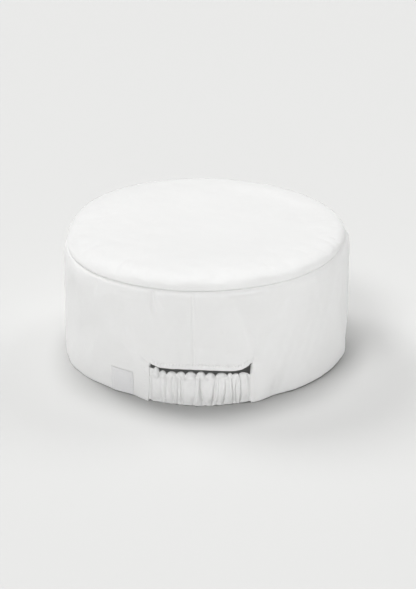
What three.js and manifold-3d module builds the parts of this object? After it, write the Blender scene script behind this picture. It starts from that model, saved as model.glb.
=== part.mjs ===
// A chef's pillbox cap with an elasticated back, in millimetres.
// +Z is up, the rear of the cap faces -Y, and the origin is the middle of the head opening,
// level with the hem that the cap stands on.
//
// The side band is one strip of cloth, folded double at the hem over a stiff interlining and
// joined at the centre back. The crown is a round panel sewn to its top edge. A notch in the
// rear of the band is bridged by a gathered strap: a cloth casing over an elastic.
import * as THREE from "three";
import { mergeVertices } from "three/addons/utils/BufferGeometryUtils.js";
import Module from "manifold-3d";

const wasm = await Module();
wasm.setup();

// ---- driving dimensions ---------------------------------------------------------------

const HEM_RADIUS = 94; // outside of the band at the hem
const SEAM_RADIUS = 93; // outside of the band at the crown seam
const BAND_HEIGHT = 75.6;
const CLOTH = 0.9; // one layer of the cap's cloth
const GAP = 0.3; // air between two layers that touch
const INTERLINING = 0.6;
const ROUND_STEPS = 120; // straight facets in a full turn of the band
const FINE_STEPS = 72; // and of the crown and the rings inside it

const NOTCH_HALF_ANGLE = 19.8; // degrees each side of the centre back
const NOTCH_HEIGHT = 25;
const BACK_SEAM_ANGLE = -2.2; // the back seam lies a little to the left of centre
const BACK_SEAM_GAP = 0.4;

const CROWN_RISE = 6.3; // how far the crown stands above its seam at the middle
const CROWN_EDGE_INSET = 0.6; // the crown's edge lies this far inside the band's
const CROWN_SHOULDER = 14; // width of the rounded margin of the crown

const ALLOWANCE_RADIUS = 88.9; // outside of the turned-in seam edges
const ALLOWANCE_DEPTH = 9;

const STRAP_HEIGHT = 19.5;
const STRAP_CLEARANCE = 0.5; // the strap hangs this far above the surface
const STRAP_BOW_RADIUS = 62;
const STRAP_BACK = 95; // how far the strap's middle reaches behind the origin
const STRAP_END_GAP = 1.4; // between the strap's moving middle and each side of the notch
const ELASTIC_WIDTH = 15;
const ELASTIC_THICKNESS = 1.2;

const LABEL_START = -36.9; // degrees from the centre back
const LABEL_END = -26.9;
const LABEL_BOTTOM = 0.6;
const LABEL_TOP = 16.8;
const LABEL_THICKNESS = 0.7;

const THREAD_RADIUS = 0.25;
const THREAD_SIDES = 6;

const CARE_LABEL = { width: 22, length: 34, thickness: 0.8, angle: 9 };

// ---- derived places -------------------------------------------------------------------

const WALL = 2 * CLOTH + 2 * GAP + INTERLINING; // the whole thickness of the band
const ALLOWANCE_TOP = BAND_HEIGHT;
const ALLOWANCE_BOTTOM = ALLOWANCE_TOP - ALLOWANCE_DEPTH;
const CROWN_BASE = BAND_HEIGHT + GAP;
const STRAP_CENTRE = STRAP_BOW_RADIUS - STRAP_BACK; // Y of the strap's centre of curvature
const STRAP_TOP = STRAP_CLEARANCE + STRAP_HEIGHT;
const CASING_WALL = 2 * (CLOTH + GAP) + ELASTIC_THICKNESS;

const radians = THREE.MathUtils.degToRad;

// Outside radius of the band at a height.
function bandRadius(z) {
  return HEM_RADIUS + ((SEAM_RADIUS - HEM_RADIUS) * z) / BAND_HEIGHT;
}

// A point at an angle from the centre back, turning towards +X.
function around(radius, degrees, z = 0) {
  const angle = radians(degrees);
  return new THREE.Vector3(radius * Math.sin(angle), -radius * Math.cos(angle), z);
}

// ---- geometry helpers -----------------------------------------------------------------

// Turns an outline of [radius, height] pairs about the Z axis.
function turned(outline, steps = ROUND_STEPS) {
  const points = outline.map(([radius, z]) => new THREE.Vector2(radius, z));
  return new THREE.LatheGeometry(points, steps).rotateX(Math.PI / 2);
}

// A ring whose section is closed on itself.
function ring(section, steps = ROUND_STEPS) {
  return turned([...section, section[0]], steps);
}

// A curved wall between two radii and two angles, standing from bottom to top.
function curvedWall(inner, outer, start, end, bottom, top, centreY = 0, steps = 16) {
  const place = (radius, i) => {
    const p = around(radius, start + ((end - start) * i) / steps);
    return new THREE.Vector2(p.x, p.y + centreY);
  };
  const outside = Array.from({ length: steps + 1 }, (_, i) => place(outer, i));
  const inside = Array.from({ length: steps + 1 }, (_, i) => place(inner, steps - i));
  const shape = new THREE.Shape([...outside, ...inside]);
  const options = { depth: top - bottom, bevelEnabled: false };
  return new THREE.ExtrudeGeometry(shape, options).translate(0, 0, bottom);
}

// A round thread along a curve.
function thread(curve, steps) {
  const section = new THREE.Shape(
    Array.from({ length: THREAD_SIDES }, (_, i) => {
      const angle = (2 * Math.PI * i) / THREAD_SIDES;
      return new THREE.Vector2(THREAD_RADIUS * Math.cos(angle), THREAD_RADIUS * Math.sin(angle));
    }),
  );
  return new THREE.ExtrudeGeometry(section, { extrudePath: curve, steps });
}

function solidOf(geometry) {
  const bare = geometry.clone();
  bare.deleteAttribute("normal");
  bare.deleteAttribute("uv");
  const merged = mergeVertices(bare, 1e-4);
  return new wasm.Manifold(
    new wasm.Mesh({
      numProp: 3,
      vertProperties: merged.attributes.position.array,
      triVerts: new Uint32Array(merged.index.array),
    }),
  );
}

function geometryOf(solid) {
  const mesh = solid.getMesh();
  const positions = new THREE.BufferAttribute(mesh.vertProperties, 3);
  const geometry = new THREE.BufferGeometry().setAttribute("position", positions);
  geometry.setIndex(new THREE.BufferAttribute(mesh.triVerts, 1));
  geometry.computeVertexNormals();
  return geometry;
}

function cut(geometry, ...cutters) {
  return geometryOf(cutters.reduce((solid, c) => solid.subtract(solidOf(c)), solidOf(geometry)));
}

// ---- materials ------------------------------------------------------------------------

function cloth(color, roughness = 0.9) {
  return new THREE.MeshStandardMaterial({ color, roughness, metalness: 0 });
}

const capCloth = cloth(0xf3f3f2);
const interliningCloth = cloth(0xe9e8e4, 0.95);
const sewingThread = cloth(0xefefee, 0.6);
const elasticWeb = cloth(0xdfdfda, 0.75);
const labelWeave = cloth(0xdcdcdb, 0.55);
const careSatin = cloth(0xf0f0ee, 0.45);

// ---- the cap --------------------------------------------------------------------------

const cap = new THREE.Group();

function add(name, geometry, material) {
  const mesh = new THREE.Mesh(geometry, material);
  mesh.name = name;
  cap.add(mesh);
  return mesh;
}

// Cuts away the notch in the rear, a little larger than the opening itself where margin asks.
function notchCutter(margin = 0, height = NOTCH_HEIGHT) {
  const angle = NOTCH_HALF_ANGLE + margin;
  return curvedWall(HEM_RADIUS - 20, HEM_RADIUS + 20, -angle, angle, -5, height + margin);
}

// Cuts a thin upright slit at the back seam.
function backSeamCutter(width) {
  const slit = new THREE.BoxGeometry(width, 20, BAND_HEIGHT + 10);
  slit.translate(0, -HEM_RADIUS, BAND_HEIGHT / 2);
  return slit.rotateZ(radians(BACK_SEAM_ANGLE));
}

// The band's section is a narrow U: an outer and an inner layer, joined by the fold at the hem.
function sideBand() {
  const innerFace = (z) => bandRadius(z) - WALL;
  const bevel = 0.4;
  const section = [
    [HEM_RADIUS - bevel, 0],
    [HEM_RADIUS, bevel],
    [SEAM_RADIUS, BAND_HEIGHT],
    [SEAM_RADIUS - CLOTH, BAND_HEIGHT],
    [bandRadius(CLOTH) - CLOTH, CLOTH],
    [innerFace(CLOTH) + CLOTH, CLOTH],
    [innerFace(BAND_HEIGHT) + CLOTH, BAND_HEIGHT],
    [innerFace(BAND_HEIGHT), BAND_HEIGHT],
    [innerFace(bevel), bevel],
    [innerFace(0) + bevel, 0],
  ];
  return cut(ring(section), notchCutter(), backSeamCutter(BACK_SEAM_GAP));
}

// The interlining fills the band from just above the fold, and stops short of the notch and
// of the strap's sewn ends.
function bandInterlining() {
  const outside = (z) => bandRadius(z) - CLOTH - GAP;
  const bottom = CLOTH + GAP;
  const top = BAND_HEIGHT - GAP;
  const section = [
    [outside(bottom), bottom],
    [outside(top), top],
    [outside(top) - INTERLINING, top],
    [outside(bottom) - INTERLINING, bottom],
  ];
  const strapEndMargin = 10;
  return cut(
    ring(section),
    notchCutter(1),
    notchCutter(strapEndMargin, STRAP_TOP - strapEndMargin + 2),
    backSeamCutter(3),
  );
}

// A shallow dome with a rounded margin, one layer thick.
function crownPanel() {
  const edge = SEAM_RADIUS - CROWN_EDGE_INSET;
  const shoulderRise = 0.8 * CROWN_RISE;
  const upper = [];
  const flatSteps = 3;
  const shoulderSteps = 5;
  const flat = edge - CROWN_SHOULDER;
  for (let i = 0; i <= flatSteps; i++) {
    const radius = (flat * i) / flatSteps;
    const share = 1 - (radius / flat) ** 2;
    upper.push([radius, CROWN_BASE + CLOTH + shoulderRise + (CROWN_RISE - shoulderRise) * share]);
  }
  for (let i = 1; i <= shoulderSteps; i++) {
    const angle = (Math.PI / 2) * (i / shoulderSteps);
    const radius = flat + CROWN_SHOULDER * Math.sin(angle);
    upper.push([radius, CROWN_BASE + CLOTH + shoulderRise * Math.cos(angle)]);
  }
  const lower = upper.map(([radius, z]) => [radius, z - CLOTH]);
  return turned([...lower, ...upper.reverse()], FINE_STEPS);
}

// The raw edges of the crown and the band, turned down together inside the band.
function crownSeamAllowance() {
  const inner = ALLOWANCE_RADIUS - CLOTH;
  return ring(
    [
      [ALLOWANCE_RADIUS, ALLOWANCE_BOTTOM],
      [ALLOWANCE_RADIUS, ALLOWANCE_TOP],
      [inner, ALLOWANCE_TOP],
      [inner, ALLOWANCE_BOTTOM],
    ],
    FINE_STEPS,
  );
}

// Overlock thread wrapped round the lower raw edge of the allowance.
function crownSeamOverlock() {
  const leg = 0.4;
  const depth = 3.5;
  const outer = ALLOWANCE_RADIUS + GAP;
  const inner = ALLOWANCE_RADIUS - CLOTH - GAP;
  const foot = ALLOWANCE_BOTTOM - GAP;
  return ring(
    [
      [outer + leg, foot - leg],
      [outer + leg, foot + depth],
      [outer, foot + depth],
      [outer, foot],
      [inner, foot],
      [inner, foot + depth],
      [inner - leg, foot + depth],
      [inner - leg, foot - leg],
    ],
    FINE_STEPS,
  );
}

// The lockstitch that joins the crown to the band, seen on the inside of the allowance.
function crownSeamStitch() {
  const radius = ALLOWANCE_RADIUS - CLOTH - GAP - THREAD_RADIUS;
  const z = BAND_HEIGHT - 1.5;
  const section = Array.from({ length: THREAD_SIDES }, (_, i) => {
    const angle = (2 * Math.PI * i) / THREAD_SIDES;
    return [radius + THREAD_RADIUS * Math.cos(angle), z + THREAD_RADIUS * Math.sin(angle)];
  });
  return ring(section, FINE_STEPS);
}

// A row of stitching at one height on the outside of the band.
class LevelRow extends THREE.Curve {
  constructor(start, end, z, proud) {
    super();
    Object.assign(this, { start, end, z, proud });
  }

  getPoint(t, target = new THREE.Vector3()) {
    const degrees = this.start + (this.end - this.start) * t;
    return target.copy(around(bandRadius(this.z) + this.proud, degrees, this.z));
  }
}

function notchTopstitch() {
  const margin = 2;
  const z = NOTCH_HEIGHT + 3;
  const end = NOTCH_HALF_ANGLE - margin;
  return thread(new LevelRow(-end, end, z, GAP + THREAD_RADIUS), 24);
}

// The thread of the back seam, between the two layers of the band.
function backSeamStitch() {
  const radius = (z) => bandRadius(z) - WALL / 2;
  const low = NOTCH_HEIGHT + 2;
  const high = BAND_HEIGHT - 2;
  const from = around(radius(low), BACK_SEAM_ANGLE, low);
  const to = around(radius(high), BACK_SEAM_ANGLE, high);
  return thread(new THREE.LineCurve3(from, to), 4);
}

// Two upright rows, sewn down and back up, that hold one end of the strap. side is -1 or 1.
function strapStitch(side) {
  const low = 3;
  const high = STRAP_TOP;
  const near = NOTCH_HALF_ANGLE + 2;
  const far = near + 1.8;
  const proud = GAP + THREAD_RADIUS;
  const row = (degrees, z) => around(bandRadius(z) + proud, side * degrees, z);
  const turn = (far - near) / 2;
  const path = new THREE.CurvePath();
  path.add(new THREE.LineCurve3(row(near, high), row(near, low)));
  path.add(
    new THREE.CubicBezierCurve3(
      row(near, low),
      row(near, low - turn),
      row(far, low - turn),
      row(far, low),
    ),
  );
  path.add(new THREE.LineCurve3(row(far, low), row(far, high)));
  return thread(path, 24);
}

// One end of the strap, flattened between the layers of the band. side is -1 or 1.
function strapEnd(side) {
  const start = NOTCH_HALF_ANGLE + 0.3;
  const end = NOTCH_HALF_ANGLE + 7;
  const low = 2;
  const outer = bandRadius(low) - CLOTH - GAP;
  const [from, to] = side < 0 ? [-end, -start] : [start, end];
  return curvedWall(outer - INTERLINING, outer, from, to, low, STRAP_TOP - 1, 0, 4);
}

// The gathered casing: a tube that is open at its two ends, where the elastic leaves it.
function strapCasing() {
  const half = strapHalfAngle();
  const outer = STRAP_BOW_RADIUS;
  const inner = outer - CASING_WALL;
  const body = curvedWall(inner, outer, -half, half, STRAP_CLEARANCE, STRAP_TOP, STRAP_CENTRE);
  const bore = curvedWall(
    inner + CLOTH,
    outer - CLOTH,
    -half - 5,
    half + 5,
    STRAP_CLEARANCE + CLOTH,
    STRAP_TOP - CLOTH,
    STRAP_CENTRE,
  );
  return cut(body, bore);
}

function strapElastic() {
  const half = strapHalfAngle() - 0.5;
  const outer = STRAP_BOW_RADIUS - CLOTH - GAP;
  const low = STRAP_CLEARANCE + (STRAP_HEIGHT - ELASTIC_WIDTH) / 2;
  const high = low + ELASTIC_WIDTH;
  return curvedWall(outer - ELASTIC_THICKNESS, outer, -half, half, low, high, STRAP_CENTRE);
}

// The angle, seen from the strap's own centre, at which it meets the side of the notch.
function strapHalfAngle() {
  const notchHalfWidth = (bandRadius(0) - WALL / 2) * Math.sin(radians(NOTCH_HALF_ANGLE));
  const reach = notchHalfWidth - STRAP_END_GAP;
  const middle = STRAP_BOW_RADIUS - CASING_WALL / 2;
  return THREE.MathUtils.radToDeg(Math.asin(reach / middle));
}

function wovenLabel() {
  const inner = HEM_RADIUS + GAP;
  const outer = inner + LABEL_THICKNESS;
  return curvedWall(inner, outer, LABEL_START, LABEL_END, LABEL_BOTTOM, LABEL_TOP, 0, 4);
}

// A row of stitching down one side of the label.
function labelStitch(degrees) {
  const radius = HEM_RADIUS + 2 * GAP + LABEL_THICKNESS + THREAD_RADIUS;
  const margin = 1;
  const from = around(radius, degrees, LABEL_BOTTOM + margin);
  const to = around(radius, degrees, LABEL_TOP - margin);
  return thread(new THREE.LineCurve3(from, to), 2);
}

// A plain care label that hangs from the allowance inside the rear of the cap.
function careLabel() {
  const { width, length, thickness, angle } = CARE_LABEL;
  const radius = ALLOWANCE_RADIUS - CLOTH - GAP - 1.2;
  const top = ALLOWANCE_BOTTOM - 1;
  const panel = new THREE.BoxGeometry(width, thickness, length);
  panel.translate(0, -radius, top - length / 2);
  return panel.rotateZ(radians(angle));
}

add("crown_panel", crownPanel(), capCloth);
add("side_band", sideBand(), capCloth);
add("band_interlining", bandInterlining(), interliningCloth);
add("crown_seam_allowance", crownSeamAllowance(), capCloth);
add("crown_seam_overlock", crownSeamOverlock(), sewingThread);
add("crown_seam_stitch", crownSeamStitch(), sewingThread);
add("back_seam_stitch", backSeamStitch(), sewingThread);
add("notch_topstitch", notchTopstitch(), sewingThread);
for (const [name, side] of [["left", -1], ["right", 1]]) {
  add(`strap_end_${name}`, strapEnd(side), capCloth);
  add(`strap_stitch_${name}`, strapStitch(side), sewingThread);
}
add("strap_casing", strapCasing(), capCloth);
add("strap_elastic", strapElastic(), elasticWeb);
add("woven_label", wovenLabel(), labelWeave);
const labelHem = 0.8; // degrees from each side of the label to its stitching
add("label_stitch_left", labelStitch(LABEL_START + labelHem), sewingThread);
add("label_stitch_right", labelStitch(LABEL_END - labelHem), sewingThread);
add("care_label", careLabel(), careSatin);

export default cap;
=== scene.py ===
"""A white chef's pillbox cap with a gathered elastic back, standing on a pale floor.

Lengths are in millimetres and angles in degrees until a mesh is made, which turns them into
metres. Angles run round the cap from the centre back (-Y) towards +X.
"""

import math

import bpy
import numpy as np
from mathutils import Euler, Matrix, Vector


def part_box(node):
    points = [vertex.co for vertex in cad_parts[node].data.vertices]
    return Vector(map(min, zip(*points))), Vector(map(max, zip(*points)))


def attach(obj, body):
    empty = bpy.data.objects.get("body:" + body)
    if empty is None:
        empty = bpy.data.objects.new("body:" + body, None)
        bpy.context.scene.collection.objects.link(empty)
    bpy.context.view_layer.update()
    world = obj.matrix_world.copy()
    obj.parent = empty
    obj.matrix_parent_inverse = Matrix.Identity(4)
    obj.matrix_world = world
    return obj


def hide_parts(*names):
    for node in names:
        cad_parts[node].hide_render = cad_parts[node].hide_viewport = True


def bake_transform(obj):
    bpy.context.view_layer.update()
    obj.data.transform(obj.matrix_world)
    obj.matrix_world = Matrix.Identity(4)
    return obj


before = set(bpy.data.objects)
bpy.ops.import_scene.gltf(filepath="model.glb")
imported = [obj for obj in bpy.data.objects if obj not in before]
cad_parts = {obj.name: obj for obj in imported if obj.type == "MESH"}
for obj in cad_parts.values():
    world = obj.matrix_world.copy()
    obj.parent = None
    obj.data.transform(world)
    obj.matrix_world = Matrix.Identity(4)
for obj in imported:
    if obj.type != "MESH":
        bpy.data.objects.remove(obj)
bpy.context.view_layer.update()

MM = 0.001


def node_box(name):
    low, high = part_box(name)
    return np.array(low) / MM, np.array(high) / MM


# ---- driving dimensions ----

_, BAND_HIGH = node_box("side_band")
STRAP_LOW, STRAP_HIGH = node_box("strap_casing")
LABEL_LOW, LABEL_HIGH = node_box("woven_label")
ALLOWANCE_LOW, ALLOWANCE_HIGH = node_box("crown_seam_allowance")
CARE_LOW, CARE_HIGH = node_box("care_label")

HEM_RADIUS = BAND_HIGH[0]
SEAM_RADIUS = HEM_RADIUS - 2.1  # of the band at the crown seam
BAND_HEIGHT = BAND_HIGH[2]

PLY = 0.42  # one layer of the cap's cloth
WALL = 1.8  # the whole thickness of the folded band
FOLD_RADIUS = (WALL - PLY) / 2  # of the cloth's middle where it turns round the hem

DEGREE = math.radians(1) * HEM_RADIUS  # the length of one degree along the hem

# angles of the notch's sides, the upright seam and the label's sides
NOTCH_LEFT = -19.5
NOTCH_RIGHT = 19.0
BACK_SEAM = -2.2
LABEL_LEFT = -36.4
LABEL_RIGHT = -26.4

LIP_HEIGHT = 23.2  # of the notch's upper edge, before its sag and its raised ends
STRAP_UNDERLAP = 3.2  # degrees that each end of the strap reaches in between the layers

THREAD = 0.36  # diameter of the topstitching thread
TOPSTITCH_RISE = 2.0  # the topstitching's height over the notch's fold
TOPSTITCH_PITCH = 2.0
STRAP_ROWS = [NOTCH_LEFT - 0.8, NOTCH_LEFT - 2.0, NOTCH_RIGHT + 1.3, NOTCH_RIGHT + 2.7]  # angles

SEAM_INSET = 1.15  # how far the crown seam lies inside the band's face
SEAM_LEAN = 2.3  # how far the band leans in towards the seam
RIGHT_LEAN = 1.7  # how much farther it leans in on the right
LEAN_HEIGHT = 8.5  # height over which it leans in
LEFT_LEAN_HEIGHT = 8.0  # how much taller that is on the left
CROWN_RADIUS = SEAM_RADIUS - SEAM_INSET  # of the crown seam
CROWN_OVERHANG = 0.75  # how far the crown's margin swells out over the seam
ALLOWANCE_OUTER = ALLOWANCE_HIGH[0] - 1.1  # radius of the turned-in edges' outer face
ALLOWANCE_SPREAD = 0.9  # how much farther in they hang at their raw lower edge
BAND_ROLL = 1.9  # height over which the band curves in to the seam
CROWN_ROLL = 1.3  # height over which the crown curves out of it
CROWN_GAP = 0.24  # height at which the crown's cloth comes out of the seam

# The cap isn't quite round: angle, half width, and how far it is outside its circle at the hem
# and at the crown seam.
OUTLINE = [
    (0, 40, 0.7, 1.1),
    (52, 25, 1.9, 2.0),
    (-50, 23, 1.8, 2.0),
    (92, 26, -1.4, 0.9),
    (-92, 26, -0.9, -2.1),
    (150, 34, 0.0, -0.1),
    (-150, 34, 0.0, 1.0),
]


# ---- small mathematics ----


def bell(x, centre, width):
    return np.exp(-(((x - centre) / width) ** 2))


def smooth(x, low, high):
    t = np.clip((x - low) / (high - low), 0.0, 1.0)
    return t * t * (3.0 - 2.0 * t)


def wrap(degrees):
    return (degrees + 180.0) % 360.0 - 180.0


def unit(vectors):
    return vectors / np.linalg.norm(vectors, axis=-1, keepdims=True)


def round_point(radius, degrees, z):
    angle = np.radians(degrees)
    return np.stack(np.broadcast_arrays(radius * np.sin(angle), -radius * np.cos(angle), z), axis=-1)


def out_of_round(degrees, share):
    """How far the outline is outside its circle, at a share of the height from hem to seam."""
    total = 0.0
    for angle, width, at_hem, at_seam in OUTLINE:
        total = total + (at_hem + (at_seam - at_hem) * share) * bell(wrap(degrees - angle), 0, width)
    return total


def extra_lean(degrees):
    """How much farther than elsewhere the band leans in towards its seam."""
    return RIGHT_LEAN * bell(wrap(degrees - 78), 0, 26)


def seam_offset(degrees):
    """How far the crown seam is outside its circle."""
    return out_of_round(degrees, 1.0) - extra_lean(degrees)


def sum_of_waves(numbers_u, numbers_v, phases):
    """Smooth unevenness of unit size over two coordinates."""

    def height(u, v):
        waves = [np.sin(a * u + b * v + p) for a, b, p in zip(numbers_u, numbers_v, phases)]
        return sum(waves) * math.sqrt(2 / len(waves))

    return height


def round_waves(seed, turns, wavelength, count=22):
    """Seeded unevenness round the cap, at (degrees, height)."""
    rng = np.random.default_rng(seed)
    around = rng.integers(turns[0], turns[1] + 1, count)
    climb = 2 * np.pi / rng.uniform(*wavelength, count) * rng.choice([-1, 1], count)
    waves = sum_of_waves(around, climb, rng.uniform(0, 2 * np.pi, count))
    return lambda degrees, height: waves(np.radians(degrees), height)


def flat_waves(seed, wavelength, count=24):
    """Seeded unevenness of a flat panel, at (x, y)."""
    rng = np.random.default_rng(seed)
    heading = rng.uniform(0, 2 * np.pi, count)
    number = 2 * np.pi / rng.uniform(*wavelength, count)
    phase = rng.uniform(0, 2 * np.pi, count)
    return sum_of_waves(number * np.cos(heading), number * np.sin(heading), phase)


PUCKER_ONSET = 1.2  # distance over which a pucker rises out of the seam


def puckers(seed, count, width, length, height):
    """Seeded small folds that start at the crown seam and fade with the distance from it."""
    rng = np.random.default_rng(seed)
    angles = rng.uniform(-180, 180, count)
    widths = rng.uniform(*width, count)
    lengths = rng.uniform(*length, count)
    heights = rng.uniform(*height, count) * rng.choice([-1, 1], count)
    leans = rng.uniform(-0.5, 0.5, count)

    def rise(degrees, distance):
        total = 0.0
        start = 1 - np.exp(-np.maximum(distance, 0) / PUCKER_ONSET)
        for angle, width, length, height, lean in zip(angles, widths, lengths, heights, leans):
            across = np.radians(wrap(degrees - angle)) * SEAM_RADIUS + lean * distance
            total = total + height * bell(across, 0, width) * np.exp(-distance / length) * start
        return total

    return rise


# ---- the shape of the band ----

broad_ripples = round_waves(11, (2, 7), (70, 160))
fine_ripples = round_waves(12, (9, 26), (25, 70))
crumple = round_waves(13, (28, 84), (7, 26), count=40)
band_puckers = puckers(21, 70, (1.2, 3.6), (3.0, 12.0), (0.16, 0.55))
BROAD_RIPPLE = 0.35
FINE_RIPPLE = 0.2
CRUMPLE = 0.045
CALM_HEIGHT = 12  # over which the ripples die away below the crown seam
BELLY = 0.4  # how far the band swells out half way up
FOLD_STRENGTH = 1.35
NOTCH_BULGE = 2.0  # how far the strap pushes out the edge over it
LIP_ROLL = 0.5  # how much farther that edge stands out along its fold
CORNER_FLARE = 3.4  # how far the strap pulls out the notch's lower corners
SEAM_VALLEY = 0.42  # depth of the valley along the upright back seam
ROW_VALLEY = 0.2  # and along the rows of stitching at the strap's ends

# Soft folds in the band: start and end as (angle, height), half width and depth (a ridge if
# the depth is negative). The first ones spread from the upper corners of the notch.
FOLDS = [
    ((19.4, 25.6), (20.8, 29), 0.8, 0.55),
    ((21.0, 27), (18.8, 45), 3.2, 0.50),
    ((18.4, 45), (14.4, 66), 4.2, 0.40),
    ((21.6, 27), (25.4, 41), 3.4, 0.42),
    ((25.4, 41), (33.6, 67), 4.6, 0.36),
    ((21.6, 38), (23.5, 60), 5.0, -0.34),
    ((-19.2, 24.4), (-22.0, 27.6), 0.8, 0.6),
    ((-21.0, 27), (-26.2, 42), 3.8, 0.32),
    ((-26.5, 33), (-27.0, 46), 3.0, 0.30),
    ((-52.0, 32), (-37.0, 58), 6.0, 0.40),
    ((-45.0, 16), (-30.0, 46), 7.0, -0.35),
    ((-30.0, 28), (-22.0, 30), 4.0, 0.22),
    ((0.6, 37.5), (3.4, 37.0), 3.0, 0.35),
    ((10.4, 35.0), (12.0, 34.0), 2.4, 0.20),
    ((6.0, 30), (9.0, 52), 5.0, -0.30),
    ((-17.3, 74), (-16.4, 63), 1.7, 0.85),
    ((-14.6, 72), (-13.0, 66), 2.2, -0.40),
    ((-18.8, 70), (-19.6, 52), 3.5, 0.28),
    ((28.2, 1), (29.6, 10), 1.8, 0.40),
    ((31.0, 3), (33.0, 12), 2.0, 0.40),
    ((62.0, 68), (57.0, 50), 5.0, 0.35),
    ((80.0, 66), (84.0, 45), 4.0, 0.35),
    ((96.0, 10), (104.0, 48), 8.0, 0.40),
    ((128.0, 20), (120.0, 60), 9.0, -0.40),
    ((150.0, 8), (158.0, 40), 7.0, 0.35),
    ((-92.0, 12), (-84.0, 52), 8.0, 0.35),
    ((-118.0, 60), (-126.0, 24), 8.0, -0.40),
    ((-160.0, 12), (-150.0, 56), 8.0, 0.35),
]


def fold(degrees, z, start, end, width, depth):
    """How far a soft fold pushes the band in at a point."""
    dx, dy = (end[0] - start[0]) * DEGREE, end[1] - start[1]
    length = math.hypot(dx, dy)
    px, py = wrap(degrees - start[0]) * DEGREE, z - start[1]
    along = (px * dx + py * dy) / length
    across = (px * dy - py * dx) / length
    beyond = np.maximum(0, np.maximum(-along, along - length))
    return -depth * bell(across, 0, width) * bell(beyond, 0, width * 1.6)


def lip_height(degrees):
    """Height of the notch's upper edge."""
    sag = 1.4 * bell(degrees, -1.0, 8.5) - 0.4 * bell(degrees, 12.5, 3.5)
    ends = 2.8 * smooth(degrees, 14.5, 20.0) + 0.9 * smooth(-degrees, 15.0, 18.0)
    return LIP_HEIGHT + sag + ends


def split_height(degrees):
    """Height where the band's upper part, which runs all round, meets its lower part."""
    return lip_height(np.clip(wrap(degrees), NOTCH_LEFT, NOTCH_RIGHT)) + FOLD_RADIUS


def band_radius(degrees, z):
    """Radius of the band's outer face."""
    degrees = wrap(degrees)
    radius = HEM_RADIUS + (SEAM_RADIUS + SEAM_LEAN - HEM_RADIUS) * z / BAND_HEIGHT
    share = np.clip(z / BAND_HEIGHT, 0, 1)
    under = BAND_HEIGHT - z
    radius = radius + out_of_round(degrees, share**2) + BELLY * np.sin(np.pi * share)
    lean_height = LEAN_HEIGHT + LEFT_LEAN_HEIGHT * bell(wrap(degrees + 80), 0, 45)
    lean = np.clip(1 - under / lean_height, 0, 1)
    radius = radius - (SEAM_LEAN + extra_lean(degrees)) * lean**2
    rippled = BROAD_RIPPLE * broad_ripples(degrees, z) + FINE_RIPPLE * fine_ripples(degrees, z)
    radius = radius + smooth(under, 0, CALM_HEIGHT) * rippled
    radius = radius + CRUMPLE * smooth(under, 0, 3) * crumple(degrees, z)
    from_seam = smooth(under, 0.1, 2.2)
    for start, end, width, depth in FOLDS:
        radius = radius + from_seam * fold(degrees, z, start, end, width, FOLD_STRENGTH * depth)
    radius = radius + band_puckers(degrees, under)
    radius = radius + notch_bulge(degrees, z) + corner_flare(degrees, z)
    radius = radius + seam_ledge(degrees, z) + stitch_valleys(degrees, z)
    return radius


def notch_bulge(degrees, z):
    """The edge over the strap is pushed outwards."""
    half_width = 20.5
    across = np.clip(1 - (degrees / half_width) ** 2, 0, 1)
    above = np.maximum(z - lip_height(degrees), 0)
    return across * (NOTCH_BULGE * np.exp(-above / 15.0) + LIP_ROLL * bell(above, 0, 1.6))


def corner_flare(degrees, z):
    """The strap pulls the lower corners of the notch outwards."""
    outside = np.maximum(0, np.maximum(NOTCH_LEFT - degrees, degrees - NOTCH_RIGHT))
    return CORNER_FLARE * bell(outside, 0, 6.0) * np.exp(-np.maximum(z, 0) / 10.0)


def seam_ledge(degrees, z):
    """The band's cloth stands out a little just under the crown seam, most on a short stretch
    right of the back seam and least on the left."""
    under = BAND_HEIGHT - z
    proud = 0.8 * smooth(degrees, 9.5, 12.5) * (1 - smooth(degrees, 22.5, 26.0))
    general = 0.28 - 0.24 * bell(wrap(degrees + 80), 0, 50) + 0.22 * bell(degrees, 0, 24)
    ledge = general * bell(under, 2.6, 2.0) + proud * bell(under, 1.9, 1.5)
    return ledge * smooth(under, 0.1, 1.5)


def stitch_valleys(degrees, z):
    """Shallow valleys where stitching draws the layers together."""
    above = z - split_height(degrees)
    seam = (degrees - BACK_SEAM) * DEGREE
    banks = 0.14 * bell(seam, 1.9, 1.2) + 0.08 * bell(seam, -1.8, 1.1)
    valleys = (banks - SEAM_VALLEY * bell(seam, 0, 0.55)) * smooth(above, 0.5, 3.0)
    right_of_left = smooth(degrees, NOTCH_LEFT - 0.5, NOTCH_LEFT + 1)
    left_of_right = smooth(-degrees, -NOTCH_RIGHT - 0.5, -NOTCH_RIGHT + 1)
    pricked = np.cos(np.pi * degrees * DEGREE / TOPSTITCH_PITCH) ** 2
    topstitched = bell(above, TOPSTITCH_RISE, 0.55) * (right_of_left * left_of_right)
    valleys = valleys - (0.10 + 0.80 * pricked) * topstitched
    low = 1 - smooth(z, 22, 25)
    for row in STRAP_ROWS:
        valleys = valleys - ROW_VALLEY * bell((degrees - row) * DEGREE, 0, 0.5) * low
    return valleys


def corner_warp(degrees, z):
    """The notch's right side leans outwards near its top."""
    return degrees + 1.2 * bell(degrees, 19.5, 4.0) * smooth(z, 16, 25)


def band_point(degrees, z, out=0.0):
    """A point a given distance outside the band's outer face."""
    degrees, z = np.broadcast_arrays(np.asarray(degrees, float), np.asarray(z, float))
    here = round_point(band_radius(degrees, z), degrees, z)
    return here + band_normal(degrees, z) * np.asarray(out)[..., None]


def band_normal(degrees, z, step=0.05):
    """Direction out of the band's face, from four points a small step away."""
    right = round_point(band_radius(degrees + step, z), degrees + step, z)
    left = round_point(band_radius(degrees - step, z), degrees - step, z)
    above = round_point(band_radius(degrees, z + step), degrees, z + step)
    below = round_point(band_radius(degrees, z - step), degrees, z - step)
    return unit(np.cross(right - left, above - below))


# ---- meshes ----


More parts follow.
